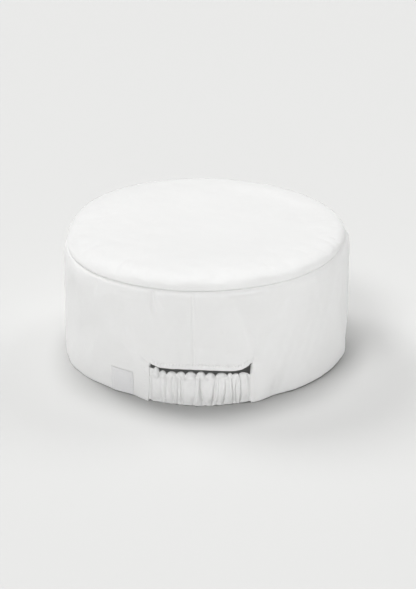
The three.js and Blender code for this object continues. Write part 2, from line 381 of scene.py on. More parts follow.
class Builder:
    """Collects grids of points and the quads between them."""

    def __init__(self):
        self.points = []
        self.count = 0
        self.quads = []

    def grid(self, points):
        rows, columns = points.shape[:2]
        indices = np.arange(rows * columns).reshape(rows, columns) + self.count
        self.points.append(points.reshape(-1, 3))
        self.count += rows * columns
        return indices

    def faces(self, indices, closed=False):
        """Quads between the rows and columns of a grid; rows run down and columns to the right."""
        if closed:
            indices = np.concatenate([indices, indices[:, :1]], axis=1)
        a, b = indices[:-1, :-1], indices[1:, :-1]
        c, d = indices[1:, 1:], indices[:-1, 1:]
        self.quads.append(np.stack([a, b, c, d], axis=-1).reshape(-1, 4))

    def result(self):
        return np.concatenate(self.points), np.concatenate(self.quads)


def point_normals(points, quads):
    corners = points[quads]
    face = np.cross(corners[:, 2] - corners[:, 0], corners[:, 3] - corners[:, 1])
    normals = np.zeros_like(points)
    for k in range(4):
        np.add.at(normals, quads[:, k], face)
    return normals / np.maximum(np.linalg.norm(normals, axis=1, keepdims=True), 1e-12)


def cloth_shell(points, quads, thickness):
    """A closed cloth of one thickness whose middle is the given surface."""
    normals = point_normals(points, quads)
    half = thickness / 2
    both = np.concatenate([points + normals * half, points - normals * half])
    size = len(points)
    edges = np.concatenate([quads[:, [k, (k + 1) % 4]] for k in range(4)])
    forward = edges[:, 0].astype(np.int64) * size + edges[:, 1]
    backward = edges[:, 1].astype(np.int64) * size + edges[:, 0]
    rim = edges[~np.isin(forward, backward)]
    sides = np.stack([rim[:, 1], rim[:, 0], rim[:, 0] + size, rim[:, 1] + size], axis=-1)
    return both, np.concatenate([quads, quads[:, ::-1] + size, sides])


def make_mesh(name, points, faces, material, sharp=50):
    """A Blender object from millimetre points and faces, smooth but for its sharp rims."""
    mesh = bpy.data.meshes.new(name)
    mesh.from_pydata((points * MM).tolist(), [], [[int(i) for i in face] for face in faces])
    mesh.polygons.foreach_set("use_smooth", np.ones(len(mesh.polygons), bool))
    mesh.materials.append(material)
    mesh.validate()
    mesh.set_sharp_from_angle(angle=math.radians(sharp))
    mesh.update()
    piece = bpy.data.objects.new(name, mesh)
    bpy.context.scene.collection.objects.link(piece)
    return piece


def tube_along(path, radius, sides):
    """Points and faces of a closed tube along a path, with one radius or one per point."""
    radius = np.broadcast_to(radius, len(path))
    along = unit(np.gradient(path, axis=0))
    helper = np.array([0.0, 0.0, 1.0])
    if abs(along[0] @ helper) > 0.9:
        helper = np.array([1.0, 0.0, 0.0])
    side = unit(np.cross(along, helper))
    up = np.cross(side, along)
    angles = (np.arange(sides) * 2 * np.pi / sides)[None, :, None]
    ring = side[:, None] * np.cos(angles) + up[:, None] * np.sin(angles)
    points = (path[:, None] + ring * radius[:, None, None]).reshape(-1, 3)
    rows = np.arange(len(points)).reshape(-1, sides)
    turned = np.roll(rows, -1, axis=1)
    quads = np.stack([rows[1:], turned[1:], turned[:-1], rows[:-1]], axis=-1).reshape(-1, 4)
    return points, [*quads, rows[0], rows[-1, ::-1]]


def cloth_piece(name, points, thickness, material, closed=False):
    """A cloth piece from one grid of points on its middle surface."""
    builder = Builder()
    builder.faces(builder.grid(points), closed)
    return make_mesh(name, *cloth_shell(*builder.result(), thickness), material)


def joined(parts):
    """Several (points, faces) as one."""
    points, faces, offset = [], [], 0
    for part_points, part_faces in parts:
        points.append(part_points)
        faces.extend(face + offset for face in part_faces)
        offset += len(part_points)
    return np.concatenate(points), faces


def stitch(start, end, normal, rise=0.22, dive=0.12):
    """One stitch: a short thread that comes out of the cloth, lies on it and dives back in."""
    steps = np.linspace(0, 1, 7)
    lift = rise * np.sin(np.pi * steps) ** 0.6 - dive
    path = start + (end - start) * steps[:, None] + normal * lift[:, None]
    radius = THREAD / 2 * np.array([0.5, 0.85, 1, 1, 1, 0.85, 0.5])
    return tube_along(path, radius, sides=6)


def stitch_row(name, points, normals, material, pitch=TOPSTITCH_PITCH, gap=0.45):
    """A row of stitches along a line that lies on the cloth."""
    lengths = np.concatenate([[0], np.cumsum(np.linalg.norm(np.diff(points, axis=0), axis=1))])
    count = max(1, int(round(lengths[-1] / pitch)))
    step = lengths[-1] / count

    def at(distance):
        place = np.array([np.interp(distance, lengths, points[:, k]) for k in range(3)])
        normal = np.array([np.interp(distance, lengths, normals[:, k]) for k in range(3)])
        return place, unit(normal)

    parts = []
    for i in range(count):
        start, normal = at(i * step + gap / 2)
        end, _ = at((i + 1) * step - gap / 2)
        parts.append(stitch(start, end, normal))
    return make_mesh(name, *joined(parts), material, sharp=80)


# ---- materials ----


class Nodes:
    """A short way to add shader nodes and link them."""

    def __init__(self, name):
        self.material = bpy.data.materials.new(name)
        self.material.use_nodes = True
        self.tree = self.material.node_tree
        self.shader = self.tree.nodes["Principled BSDF"]

    def add(self, kind, inputs=None, **settings):
        node = self.tree.nodes.new(kind)
        for key, value in settings.items():
            setattr(node, key, value)
        for key, value in (inputs or {}).items():
            if isinstance(value, bpy.types.NodeSocket):
                self.tree.links.new(value, node.inputs[key])
            else:
                node.inputs[key].default_value = value
        return node

    def math(self, operation, *values):
        node = self.add("ShaderNodeMath", dict(enumerate(values)), operation=operation)
        return node.outputs[0]

    def times(self, a, b):
        return self.math("MULTIPLY", a, b)

    def scaled(self, value, factor, offset):
        return self.math("MULTIPLY_ADD", value, factor, offset)

    def place(self):
        return self.add("ShaderNodeTexCoord").outputs["Object"]

    def noise(self, place, scale, detail, roughness=0.5):
        inputs = {"Vector": place, "Scale": scale, "Detail": detail, "Roughness": roughness}
        return self.add("ShaderNodeTexNoise", inputs).outputs["Fac"]

    def bump(self, height, distance, strength, under=None):
        """A bump, distance in millimetres, on top of another one."""
        inputs = {"Height": height, "Distance": distance * MM, "Strength": strength}
        if under is not None:
            inputs["Normal"] = under
        return self.add("ShaderNodeBump", inputs).outputs[0]

    def feed(self, name, value):
        if isinstance(value, bpy.types.NodeSocket):
            self.tree.links.new(value, self.shader.inputs[name])
        else:
            self.shader.inputs[name].default_value = value

    def feed_color(self, color, tone):
        """A colour times a grey tone as the base colour."""
        grey = self.add("ShaderNodeCombineColor", {0: tone, 1: tone, 2: tone})
        inputs = {"Factor": 1.0, "A": (*color, 1.0), "B": grey.outputs[0]}
        mix = self.add("ShaderNodeMix", inputs, data_type="RGBA", blend_type="MULTIPLY")
        self.feed("Base Color", mix.outputs["Result"])


def cloth_coordinates(nodes, place, flat):
    """Two coordinates along the cloth's threads, in millimetres: round and up the cap, or
    across a flat panel."""
    axes = nodes.add("ShaderNodeSeparateXYZ", {0: place})
    x, y, z = axes.outputs
    if flat:
        return nodes.times(x, 1 / MM), nodes.times(y, 1 / MM)
    angle = nodes.math("ARCTAN2", x, nodes.times(y, -1.0))
    return nodes.times(angle, HEM_RADIUS), nodes.times(z, 1 / MM)


def weave_height(nodes, u, v, pitch):
    """Height of a plain weave: threads that pass over and under each other."""
    across = nodes.math("DIVIDE", u, pitch)
    up = nodes.math("DIVIDE", v, pitch)
    cell = nodes.math("ADD", nodes.math("FLOOR", across), nodes.math("FLOOR", up))
    over = nodes.math("MODULO", nodes.math("ABSOLUTE", cell), 2.0)
    hump_u = nodes.math("SINE", nodes.times(nodes.math("FRACT", across), math.pi))
    hump_v = nodes.math("SINE", nodes.times(nodes.math("FRACT", up), math.pi))
    warp = nodes.times(hump_u, nodes.scaled(hump_v, 0.5, 0.5))
    weft = nodes.times(hump_v, nodes.scaled(hump_u, 0.5, 0.5))
    under = nodes.math("SUBTRACT", 1.0, over)
    return nodes.math("ADD", nodes.times(warp, over), nodes.times(weft, under))


def woven_cloth(name, color, flat=False, pitch=0.42, relief=0.05, roughness=0.82, sheen=0.12):
    """Matt woven cloth: a weave, uneven threads, faint creasing and a little variation of tone."""
    nodes = Nodes(name)
    place = nodes.place()
    u, v = cloth_coordinates(nodes, place, flat)
    weave = weave_height(nodes, u, v, pitch)
    stretched = nodes.add("ShaderNodeCombineXYZ", {0: nodes.times(u, 0.05), 1: nodes.times(v, 1.3)})
    slub = nodes.noise(stretched.outputs[0], scale=1.0, detail=3.0)
    creases = nodes.noise(place, scale=210.0, detail=4.0, roughness=0.62)
    clouds = nodes.noise(place, scale=34.0, detail=2.0)

    tone = nodes.times(nodes.scaled(clouds, 0.030, 0.985), nodes.scaled(slub, 0.024, 0.988))
    nodes.feed_color(color, nodes.times(tone, nodes.scaled(weave, 0.05, 0.965)))
    nodes.feed("Roughness", nodes.scaled(weave, -0.10, roughness + 0.06))
    nodes.feed("Specular IOR Level", 0.25)
    nodes.feed("Sheen Weight", sheen)
    nodes.feed("Sheen Roughness", 0.45)

    weave_bump = nodes.bump(weave, relief, 0.8)
    slub_bump = nodes.bump(slub, 0.05, 0.6, weave_bump)
    nodes.feed("Normal", nodes.bump(creases, 0.35, 0.5, slub_bump))
    return nodes.material


def spun_thread(name, color):
    """Sewing thread: twisted strands with a slight shine."""
    nodes = Nodes(name)
    place = nodes.place()
    inputs = {"Vector": place, "Scale": 420.0, "Distortion": 1.2}
    twist = nodes.add("ShaderNodeTexWave", inputs, bands_direction="DIAGONAL").outputs["Fac"]
    fuzz = nodes.noise(place, scale=2200.0, detail=2.0)
    nodes.feed_color(color, nodes.scaled(twist, 0.05, 0.95))
    nodes.feed("Roughness", nodes.scaled(fuzz, 0.15, 0.45))
    nodes.feed("Sheen Weight", 0.15)
    nodes.feed("Normal", nodes.bump(twist, 0.04, 0.7))
    return nodes.material


def pale_floor(tone):
    """A matt floor whose grey varies very little."""
    nodes = Nodes("pale_floor")
    grain = nodes.noise(nodes.place(), scale=3.0, detail=2.0)
    grey = nodes.scaled(grain, 0.004, tone - 0.002)
    color = nodes.add("ShaderNodeCombineColor", {0: grey, 1: grey, 2: nodes.times(grey, 0.99)})
    nodes.feed("Base Color", color.outputs[0])
    nodes.feed("Roughness", 0.9)
    nodes.feed("Specular IOR Level", 0.1)
    return nodes.material


WHITE = (0.875, 0.875, 0.868)
WEB = (0.78, 0.78, 0.76)
STIFF = (0.80, 0.79, 0.76)
LABEL = (0.80, 0.80, 0.805)
CARE = (0.84, 0.84, 0.83)

band_cloth = woven_cloth("band_cloth", WHITE)
crown_cloth = woven_cloth("crown_cloth", WHITE, flat=True)
stiffener = woven_cloth("stiffener", STIFF, pitch=0.9, relief=0.03, roughness=0.9, sheen=0.05)
elastic_web = woven_cloth("elastic_web", WEB, pitch=0.75, relief=0.16, roughness=0.6, sheen=0.1)
label_satin = woven_cloth("label_satin", LABEL, pitch=0.3, relief=0.03, roughness=0.55, sheen=0.2)
care_satin = woven_cloth(
    "care_satin", CARE, flat=True, pitch=0.28, relief=0.02, roughness=0.42, sheen=0.2
)
thread = spun_thread("thread", (0.88, 0.88, 0.87))


# ---- the camera ----

CAMERA_AZIMUTH = 2.75
CAMERA_ELEVATION = 24.6
CAMERA_DISTANCE = 1200.0
CAMERA_AIM = (1.41, 0.0, 31.45)  # right of, towards and above the origin, seen from the camera
CAMERA_ROLL = -0.76
CAMERA_LENS = 110.2


def make_camera():
    """A long lens that looks at the cap's back from a little above, as in the photo."""
    data = bpy.data.cameras.new("camera")
    data.lens = CAMERA_LENS
    data.sensor_width = 36.0
    data.clip_end = 20.0
    camera = bpy.data.objects.new("camera", data)
    turn = Matrix.Rotation(math.radians(CAMERA_AZIMUTH), 3, "Z")
    tilt = math.radians(CAMERA_ELEVATION)
    back = Vector((0, -math.cos(tilt), math.sin(tilt)))
    place = (turn @ (Vector(CAMERA_AIM) + back * CAMERA_DISTANCE)) * MM
    looking = Euler((math.pi / 2 - tilt, 0, 0)).to_matrix()
    roll = Matrix.Rotation(math.radians(CAMERA_ROLL), 3, "Z")
    camera.matrix_world = Matrix.Translation(place) @ (turn @ looking @ roll).to_4x4()
    bpy.context.scene.collection.objects.link(camera)
    bpy.context.scene.camera = camera


make_camera()


# ---- the band ----

# columns and rows of the band's mesh
NOTCH_COLUMNS = 160
BACK_COLUMNS = 60
FRONT_COLUMNS = 240
OUTER_ROWS = 44
INNER_ROWS = 16
LOW_OUTER_ROWS = 20
LOW_INNER_ROWS = 8


def band_columns():
    """Angles of the mesh's columns, from the left side of the notch once round the cap."""
    near = 28.0  # degrees to each side of the notch with narrower columns
    ends = [NOTCH_LEFT, NOTCH_RIGHT, NOTCH_RIGHT + near, 360 + NOTCH_LEFT - near, 360 + NOTCH_LEFT]
    counts = [NOTCH_COLUMNS, BACK_COLUMNS, FRONT_COLUMNS, BACK_COLUMNS]
    spans = zip(ends, ends[1:], counts)
    return np.concatenate([np.linspace(*span, endpoint=False) for span in spans])


def spaced(count, crowd=0.55):
    """Numbers from 0 to 1 that crowd towards both ends."""
    t = np.linspace(0, 1, count)
    return t * (1 - crowd) + crowd * (0.5 - 0.5 * np.cos(np.pi * t))


def band_layer(columns, heights, depth):
    """A grid of points inside the band's outer face; heights is rows by columns."""
    angles = corner_warp(wrap(np.broadcast_to(columns, heights.shape)), heights)
    return band_point(angles, heights, -depth)


def turned_edge(columns, bottom, steps=7):
    """The cloth turning half a circle round an edge, from the outer layer to the inner one."""
    rows = []
    for angle in np.linspace(0, np.pi, steps + 2)[1:-1]:
        depth = WALL / 2 - FOLD_RADIUS * np.cos(angle)
        height = bottom + FOLD_RADIUS + PLY / 2 - FOLD_RADIUS * np.sin(angle)
        rows.append(band_layer(columns, height[None], depth)[0])
    return np.array(rows)


def rolled_top(columns, steps=8):
    """The band's top edge turning inwards to the crown seam, from the seam outwards."""
    rows = []
    for angle in np.linspace(0.5 * np.pi, 0, steps + 1)[:-1]:
        depth = PLY / 2 + SEAM_INSET * (1 - np.cos(angle))
        height = np.full(len(columns), BAND_HEIGHT - PLY / 2 - BAND_ROLL * (1 - np.sin(angle)))
        radius = band_radius(columns, height) - depth
        rows.append(round_point(radius, columns, height))
    return np.array(rows)


def side_band():
    """The folded band: an upper part that runs all round and a lower part without the notch."""
    columns = band_columns()
    notch = np.arange(NOTCH_COLUMNS + 1)
    outside = np.concatenate([np.arange(NOTCH_COLUMNS, len(columns)), [0]])
    top = BAND_HEIGHT - PLY / 2 - BAND_ROLL
    split = split_height(columns) + PLY / 2
    builder = Builder()

    outer_heights = top + (split - top) * spaced(OUTER_ROWS)[:, None]
    outer = builder.grid(band_layer(columns, outer_heights, PLY / 2))
    roll = builder.grid(rolled_top(columns))
    inner_top = BAND_HEIGHT - 3.5
    inner_heights = split + (inner_top - split) * spaced(INNER_ROWS)[:, None]
    inner = builder.grid(band_layer(columns, inner_heights, WALL - PLY / 2))
    builder.faces(np.concatenate([roll, outer]), closed=True)
    builder.faces(inner, closed=True)

    lip = builder.grid(turned_edge(columns[notch], lip_height(wrap(columns[notch]))))
    builder.faces(np.concatenate([outer[-1:, notch], lip, inner[:1, notch]]))

    low_columns, low_split = columns[outside], split[outside]
    low = FOLD_RADIUS + PLY / 2
    down = low_split + (low - low_split) * spaced(LOW_OUTER_ROWS)[1:, None]
    up = low + (low_split - low) * spaced(LOW_INNER_ROWS)[:-1, None]
    low_outer = builder.grid(band_layer(low_columns, down, PLY / 2))
    hem_fold = builder.grid(turned_edge(low_columns, np.zeros(len(outside))))
    low_inner = builder.grid(band_layer(low_columns, up, WALL - PLY / 2))
    low_rows = [outer[-1:, outside], low_outer, hem_fold, low_inner, inner[:1, outside]]
    builder.faces(np.concatenate(low_rows))

    points, quads = cloth_shell(*builder.result(), PLY)
    points[:, 2] = np.maximum(points[:, 2], 0.0)
    piece = make_mesh("side_band_cloth", points, quads, band_cloth)
    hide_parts("side_band")
    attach(piece, "root")


def interlining():
    """The stiffener between the band's layers, clear of the notch and of the strap's ends."""
    columns = band_columns()[::2]
    clear, fade = 6.0, 1.5  # degrees
    beside = smooth(wrap(columns), NOTCH_LEFT - clear - fade, NOTCH_LEFT - clear)
    beside = beside * smooth(-wrap(columns), -NOTCH_RIGHT - clear - fade, -NOTCH_RIGHT - clear)
    bottom, top = 2.2, BAND_HEIGHT - 3.0
    notch_rise = 25.5
    raised = bottom + notch_rise * beside
    heights = top + (raised - top) * np.linspace(0, 1, 30)[:, None]
    middle = band_layer(columns, heights, WALL / 2)
    name = "band_interlining_web"
    piece = cloth_piece(name, middle, thickness=0.4, material=stiffener, closed=True)
    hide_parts("band_interlining")
    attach(piece, "root")


# ---- the crown ----

crown_ripples = flat_waves(31, (60, 150))
crown_fine = flat_waves(32, (18, 50))
crown_crumple = flat_waves(34, (7, 24), count=40)
crown_puckers = puckers(33, 110, (1.1, 3.4), (3.5, 12.0), (0.15, 0.75))
CROWN_RIPPLE = 0.30
CROWN_FINE_RIPPLE = 0.13
CROWN_FULLNESS = 0.75  # share of the profile's height that the middle of the crown keeps
CROWN_SINK = 1.1  # how much lower the middle lies than the profile's inner end
RIM_REACH = 30.0  # length of the margin's arc
RIM_TILT = 80  # the margin's slope where it leaves the seam
RIM_WIDTH = 6.9  # arc over which the slope falls away
RIM_FALL = 1.45  # and how sharply it does
PATCH_RINGS = 66  # rows of the mesh from the crown's middle to the margin
RIM_ROWS = 44  # over the margin
ROLL_ROWS = 8  # and down into the seam
# Where the crown's edge turns down inside the seam: distance in from its outline, and height.
SEAM_TURN = [(0.45, 0.18), (0.70, -0.10), (0.75, -0.60), (0.75, -1.80)]


def rim_profile(step=0.05):
    """The crown's rounded margin by its arc length: (arc, distance in from the seam, height over
    it, tilt)."""
    arc = np.arange(0, RIM_REACH + step, step)
    tilt = np.radians(RIM_TILT * np.exp(-((arc / RIM_WIDTH) ** RIM_FALL)))
    inward = np.concatenate([[0], np.cumsum(np.cos(tilt[:-1]) * step)])
    height = np.concatenate([[0], np.cumsum(np.sin(tilt[:-1]) * step)])
    return arc, inward - CROWN_OVERHANG, height + CROWN_GAP + CROWN_ROLL, tilt


def rim_fullness(degrees):
    """The margin is fuller at the back of the cap than over the forehead, and flattest at the
    front right."""
    angle = np.radians(degrees)
    return 0.79 + 0.17 * np.cos(angle) - 0.24 * np.sin(angle) * smooth(-np.cos(angle), -0.3, 0.6)


def crown_surface(inward, height, tilt, degrees):
    """Crown points from places on the rim's profile or further in."""
    radius = CROWN_RADIUS - inward
    radius = radius + seam_offset(degrees) * (radius / SEAM_RADIUS) ** 2
    share = smooth(inward, 18, 75)
    full = rim_fullness(degrees) * (1 - share) + CROWN_FULLNESS * share
    lift = height * full - CROWN_SINK * smooth(inward, 22, 85)
    place = round_point(radius, degrees, 0.0)
    x, y = place[..., 0], place[..., 1]
    # the cloth is smoother over the forehead
    near_side = 0.1 + 0.9 * smooth(np.cos(np.radians(degrees)), -0.5, 0.2)
    loose = smooth(inward, 2, 16)
    lift = lift + loose * (CROWN_RIPPLE * crown_ripples(x, y) + CROWN_FINE_RIPPLE * crown_fine(x, y))
    crumpled = 0.05 + 0.07 * bell(inward, 8, 10) * near_side
    lift = lift + crumpled * smooth(inward, 0.5, 4) * crown_crumple(x, y)
    pucker = crown_puckers(degrees, inward) * smooth(radius, 20, 60) * near_side
    radius = radius + pucker * np.sin(tilt)
    lift = lift + pucker * np.cos(tilt)
    return round_point(radius, degrees, BAND_HEIGHT + lift)


def disc_patch(rings):
    """A square grid pressed into a disc: (radius share, degrees) for each point."""
    line = np.linspace(-1, 1, 2 * rings + 1)
    x, y = np.meshgrid(line, line)
    size = np.maximum(np.abs(x), np.abs(y))
    wide = np.abs(x) >= np.abs(y)
    share = np.divide(np.where(wide, y, x), size, out=np.zeros_like(size), where=size > 0)
    quarter = share * np.pi / 4
    px = np.where(wide, np.sign(x) * np.cos(quarter), np.sin(quarter)) * size
    py = np.where(wide, np.sin(quarter), np.sign(y) * np.cos(quarter)) * size
    return np.hypot(px, py), np.degrees(np.arctan2(px, -py))


def patch_border(indices):
    """The indices round the edge of a square grid, in order of turning from -Y towards +X."""
    sides = [indices[0], indices[:, -1], indices[-1, ::-1], indices[::-1, 0]]
    return np.concatenate([side[:-1] for side in sides])


def crown_panel():
    """The crown: a patch over its middle, and rings from there over the margin into the seam."""
    share, degrees = disc_patch(PATCH_RINGS)
    arc, inward, height, tilt = rim_profile()
    patch_inward = CROWN_RADIUS - share * (CROWN_RADIUS - inward[-1])
    patch_height = np.full_like(patch_inward, height[-1])
    builder = Builder()
    patch = builder.grid(crown_surface(patch_inward, patch_height, 0 * share, degrees))
    builder.faces(patch[::-1])  # its rows run towards +Y
    border = patch_border(patch)
    around = degrees.ravel()[border]

    points = []
    for stop in RIM_REACH * spaced(RIM_ROWS, crowd=0.2)[::-1][1:] ** 1.25:
        k = np.interp(stop, arc, np.arange(len(arc)))
        values = [np.interp(k, np.arange(len(arc)), part) for part in (inward, height, tilt)]
        points.append(crown_surface(*(np.full_like(around, value) for value in values), around))
    outline = CROWN_RADIUS + seam_offset(around)
    for angle in np.linspace(0.5 * np.pi, 0, ROLL_ROWS)[1:]:
        overhang = CROWN_OVERHANG * np.sin(angle)
        rise = CROWN_GAP + CROWN_ROLL * (1 - np.cos(angle)) * rim_fullness(around)
        points.append(round_point(outline + overhang, around, BAND_HEIGHT + rise))
    for inset, rise in SEAM_TURN:
        points.append(round_point(outline - inset, around, BAND_HEIGHT + rise))
    ring = builder.grid(np.array(points))
    builder.faces(np.concatenate([border[None], ring]), closed=True)

    piece = make_mesh("crown_panel_cloth", *cloth_shell(*builder.result(), PLY), crown_cloth)
    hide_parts("crown_panel")
    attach(piece, "root")


def seam_allowance():
    """The turned-in raw edges, one wavy ply that hangs inside from the crown seam."""
    around = np.linspace(-180, 180, 360, endpoint=False)
    wave = round_waves(41, (12, 40), (20, 60))
    flutter = 0.28
    depth = ALLOWANCE_HIGH[2] - ALLOWANCE_LOW[2]
    rows = []
    for share in np.linspace(0, 1, 9):
        z = ALLOWANCE_HIGH[2] - depth * share
        inset = PLY + ALLOWANCE_SPREAD * share + flutter * share * wave(around, z)
        rows.append(round_point(ALLOWANCE_OUTER + seam_offset(around) - inset, around, z))
    name = "crown_seam_allowance_cloth"
    piece = cloth_piece(name, np.array(rows), 2 * PLY, band_cloth, closed=True)
    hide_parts("crown_seam_allowance")
    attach(piece, "root")


def overlock():
    """Thread looped round the raw edge of the allowance."""
    loops = 190
    per_loop = 10
    t = np.arange(loops * per_loop) / per_loop
    phase = 2 * np.pi * t
    degrees = t * 360 / loops
    reach, height, slant = 0.75, 2.0, 0.5  # of a loop from its middle; slant is in degrees
    middle = ALLOWANCE_OUTER + seam_offset(wrap(degrees)) - PLY - ALLOWANCE_SPREAD
    radius = middle + reach * np.cos(phase)
    z = ALLOWANCE_LOW[2] + 1.3 - height * np.sin(phase)
    degrees = degrees + slant * np.sin(phase)
    looped = tube_along(round_point(radius, degrees, z), radius=0.14, sides=5)
    piece = make_mesh("crown_seam_overlock_thread", *looped, thread, sharp=80)
    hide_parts("crown_seam_overlock")
    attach(piece, "root")


# ---- the strap ----

# Valleys between the strap's gathers, or ridges where the depth is negative: angle at the top,
# middle and bottom, depth at the same three places, and half width.
GATHERS = [
    (-19.0, -19.2, -19.2, 1.0, 1.8, 2.8, 0.7),
    (-14.3, -14.1, -13.6, 0.9, 1.2, 1.7, 0.9),
    (-13.1, -13.1, -12.6, -0.5, -0.6, -0.7, 0.8),
    (-12.0, -12.2, -12.2, 2.0, 1.3, 0.4, 0.7),
    (-10.0, -10.0, -9.6, 1.6, 1.7, 1.9, 0.7),
    (-8.9, -8.9, -8.9, -0.5, -0.7, -0.7, 0.6),
    (-8.0, -7.8, -8.0, 0.9, 1.3, 0.7, 0.5),
    (-6.8, -6.8, -6.4, 2.2, 2.5, 2.1, 0.7),
    (-1.3, -1.4, -2.4, 1.6, 0.6, 1.5, 0.7),
    (-0.6, -0.7, -1.2, -0.3, -0.7, -0.8, 0.6),
    (0.6, 0.3, 1.5, 2.3, 3.1, 2.8, 0.8),
    (5.9, 5.4, 4.7, 1.1, 2.2, 2.8, 0.8),
    (6.7, 6.3, 5.5, -0.4, -0.8, -0.8, 0.5),
    (7.4, 7.1, 6.2, 1.5, 0.9, 1.2, 0.6),
    (9.5, 9.6, 8.7, 1.7, 1.9, 3.0, 0.7),
    (11.0, 11.3, 11.3, -0.5, -0.8, -0.4, 0.7),
    (11.8, 12.2, 12.3, 2.3, 1.9, 1.5, 0.6),
    (14.5, 13.4, 13.8, 0.6, 1.8, 1.2, 0.6),
    (14.9, 14.4, 14.4, -0.3, -0.6, -0.4, 0.4),
    (15.2, 15.4, 14.9, 1.5, 1.7, 1.8, 0.6),
    (17.0, 17.0, 17.0, -0.5, -0.5, -0.3, 0.9),
    (18.2, 18.4, 18.4, 1.7, 1.5, 1.3, 0.6),
]
# The strap's upper edge: the angle and height of each dip, and the crest's height after it.
RUFFLES = [
    (-20.6, 21.2, 21.6),
    (-18.0, 20.8, 22.6),
    (-15.7, 18.4, 20.6),
    (-12.8, 17.9, 20.7),
    (-8.8, 19.2, 21.0),
    (-5.4, 18.8, 21.3),
    (-1.3, 19.0, 21.5),
    (2.4, 18.7, 20.7),
    (6.0, 18.1, 20.5),
    (10.6, 18.1, 19.8),
    (12.6, 18.1, 19.2),
    (15.0, 17.8, 19.6),
    (18.8, 18.5, 19.4),
    (22.5, 18.5, 19.4),
]
STRAP_BULGE = 98.9  # radius that the strap's face would have at its lower edge if it didn't curl
STRAP_LEAN = 8.0  # how many degrees its face leans back
STRAP_SAG = 1.6  # how much farther out the middle of its lower edge is
STRAP_PUFF = 4.4  # thickness of the gathered casing
STRAP_END_PUFF = 0.25  # half its thickness where it goes in between the band's layers
HEADER = 17.7  # height of the stitched line under the ruffled edge
RUFFLE_DIP = 2.4  # how deep the ruffled edge is drawn in at its dips
STRAP_CURL = 1.1  # how far the face curls back at its lower edge
STRAP_SLACK = 0.75  # how far its cloth swells out higher up
STRAP_SPLIT = 0.1  # the angle where its two halves meet
ELASTIC_INSET = 3.0  # degrees that the elastic's sewn ends stay clear of the notch's sides
strap_crumple = round_waves(14, (60, 190), (3, 10), count=36)


def through(low, middle, high, share):
    """A parabola through three values, at shares 0, a half and 1."""
    ends = low * (1 - share) * (1 - 2 * share) + high * share * (2 * share - 1)
    return ends + middle * 4 * share * (1 - share)


def dented(degrees, centre, width):
    """A dent with a sharper bottom and longer sides than a bell."""
    across = (degrees - centre) * math.radians(1) * STRAP_BULGE
    return 1 / (1 + (across / width) ** 2)


def gather_valleys(degrees, share, z):
    """How deep the strap's face is drawn in between its gathers."""
    header = smooth(z, HEADER - 1.2, HEADER + 1.0)
    body, edge = 0.0, 0.0
    for top, middle, bottom, at_top, at_middle, at_bottom, width in GATHERS:
        line = through(bottom, middle, top, share)
        depth = through(at_bottom, at_middle, at_top, share)
        body = body + depth * dented(degrees, line, width)
    for angle, _, _ in RUFFLES:
        edge = edge + RUFFLE_DIP * dented(degrees, angle, 1.0)
    stitched = 0.55 * bell(z, HEADER, 0.8) + 0.25 * bell(z, 2.2, 0.6)
    return body * (1 - 0.75 * header) + edge * header + stitched


def strap_top(degrees):
    """Height of the strap's ruffled upper edge."""
    dips = np.array(RUFFLES)
    k = np.clip(np.searchsorted(dips[:, 0], degrees) - 1, 0, len(dips) - 2)
    t = (degrees - dips[k, 0]) / (dips[k + 1, 0] - dips[k, 0])
    low = dips[k, 1] * (1 - t) + dips[k + 1, 1] * t
    return low + (dips[k, 2] - low) * (1 - np.abs(2 * t - 1) ** 2.2)


def strap_bottom(degrees):
    """Height of its lower edge, which rises at both ends."""
    wavy = 0.3 + 0.12 * fine_ripples(4 * degrees, 0 * degrees)
    return wavy + 0.9 * bell(degrees, -19.0, 1.5) + 0.5 * bell(degrees, 17.9, 1.4)


def strap_middle(degrees, z):
    """Radius of the middle of the casing's thickness; its lower edge stands out in the middle."""
    sag = STRAP_SAG * bell(degrees, 1.0, 9.0) * (1 - z / STRAP_HIGH[2])
    return STRAP_BULGE - STRAP_PUFF / 2 - math.tan(math.radians(STRAP_LEAN)) * z + sag


def strap_section(degrees, turns):
    """Points of the casing's middle surface; turns runs once round its section."""
    angle = 2 * np.pi * turns
    up = np.sin(angle)
    out = np.cos(angle)
    share = 0.5 + 0.5 * np.sign(up) * np.abs(up) ** 0.8
    bottom = np.maximum(strap_bottom(degrees), 0.22)
    z = bottom + (strap_top(degrees) - bottom) * share

    edge = np.where(degrees < 0, NOTCH_LEFT - 0.2, NOTCH_RIGHT + 0.2)
    under_band = np.where(np.abs(degrees) > np.abs(edge), degrees, edge)
    sewn = band_radius(under_band, z) - WALL / 2
    free = strap_middle(degrees, z)
    room = np.abs(edge) - np.abs(degrees)
    loose = smooth(room, 0.0, 3.2)
    middle = sewn * (1 - loose) + free * loose

    puff = STRAP_END_PUFF + (STRAP_PUFF / 2 - STRAP_END_PUFF) * smooth(room, -0.2, 2.6)
    face = np.abs(out) ** 0.6
    curl = STRAP_CURL * (1 - smooth(share, 0.0, 0.42))
    drawn = gather_valleys(degrees, share, z) + 0.08 * strap_crumple(degrees, z)
    drawn = drawn * smooth(room, -0.3, 1.5)
    slack = (STRAP_SLACK - curl) * smooth(room, 0, 2)
    front_side = (puff + slack) * face - drawn * np.minimum(face * 1.4, 1.0)
    back_side = -puff * face - 0.35 * drawn * face
    front_side = np.maximum(front_side, -0.5 * puff)
    return round_point(middle + np.where(out > 0, front_side, back_side), degrees, z)


def strap_casing(name, start, end):
    """One half of the casing, from its end that is sewn into the band to its middle."""
    turns = -np.linspace(0, 1, 96, endpoint=False)
    section = strap_section(*np.meshgrid(np.linspace(start, end, 170), turns))
    builder = Builder()
    indices = builder.grid(section)
    builder.faces(np.concatenate([indices, indices[:1]]))
    piece = make_mesh(name, *cloth_shell(*builder.result(), thickness=0.3), band_cloth, sharp=70)
    return piece


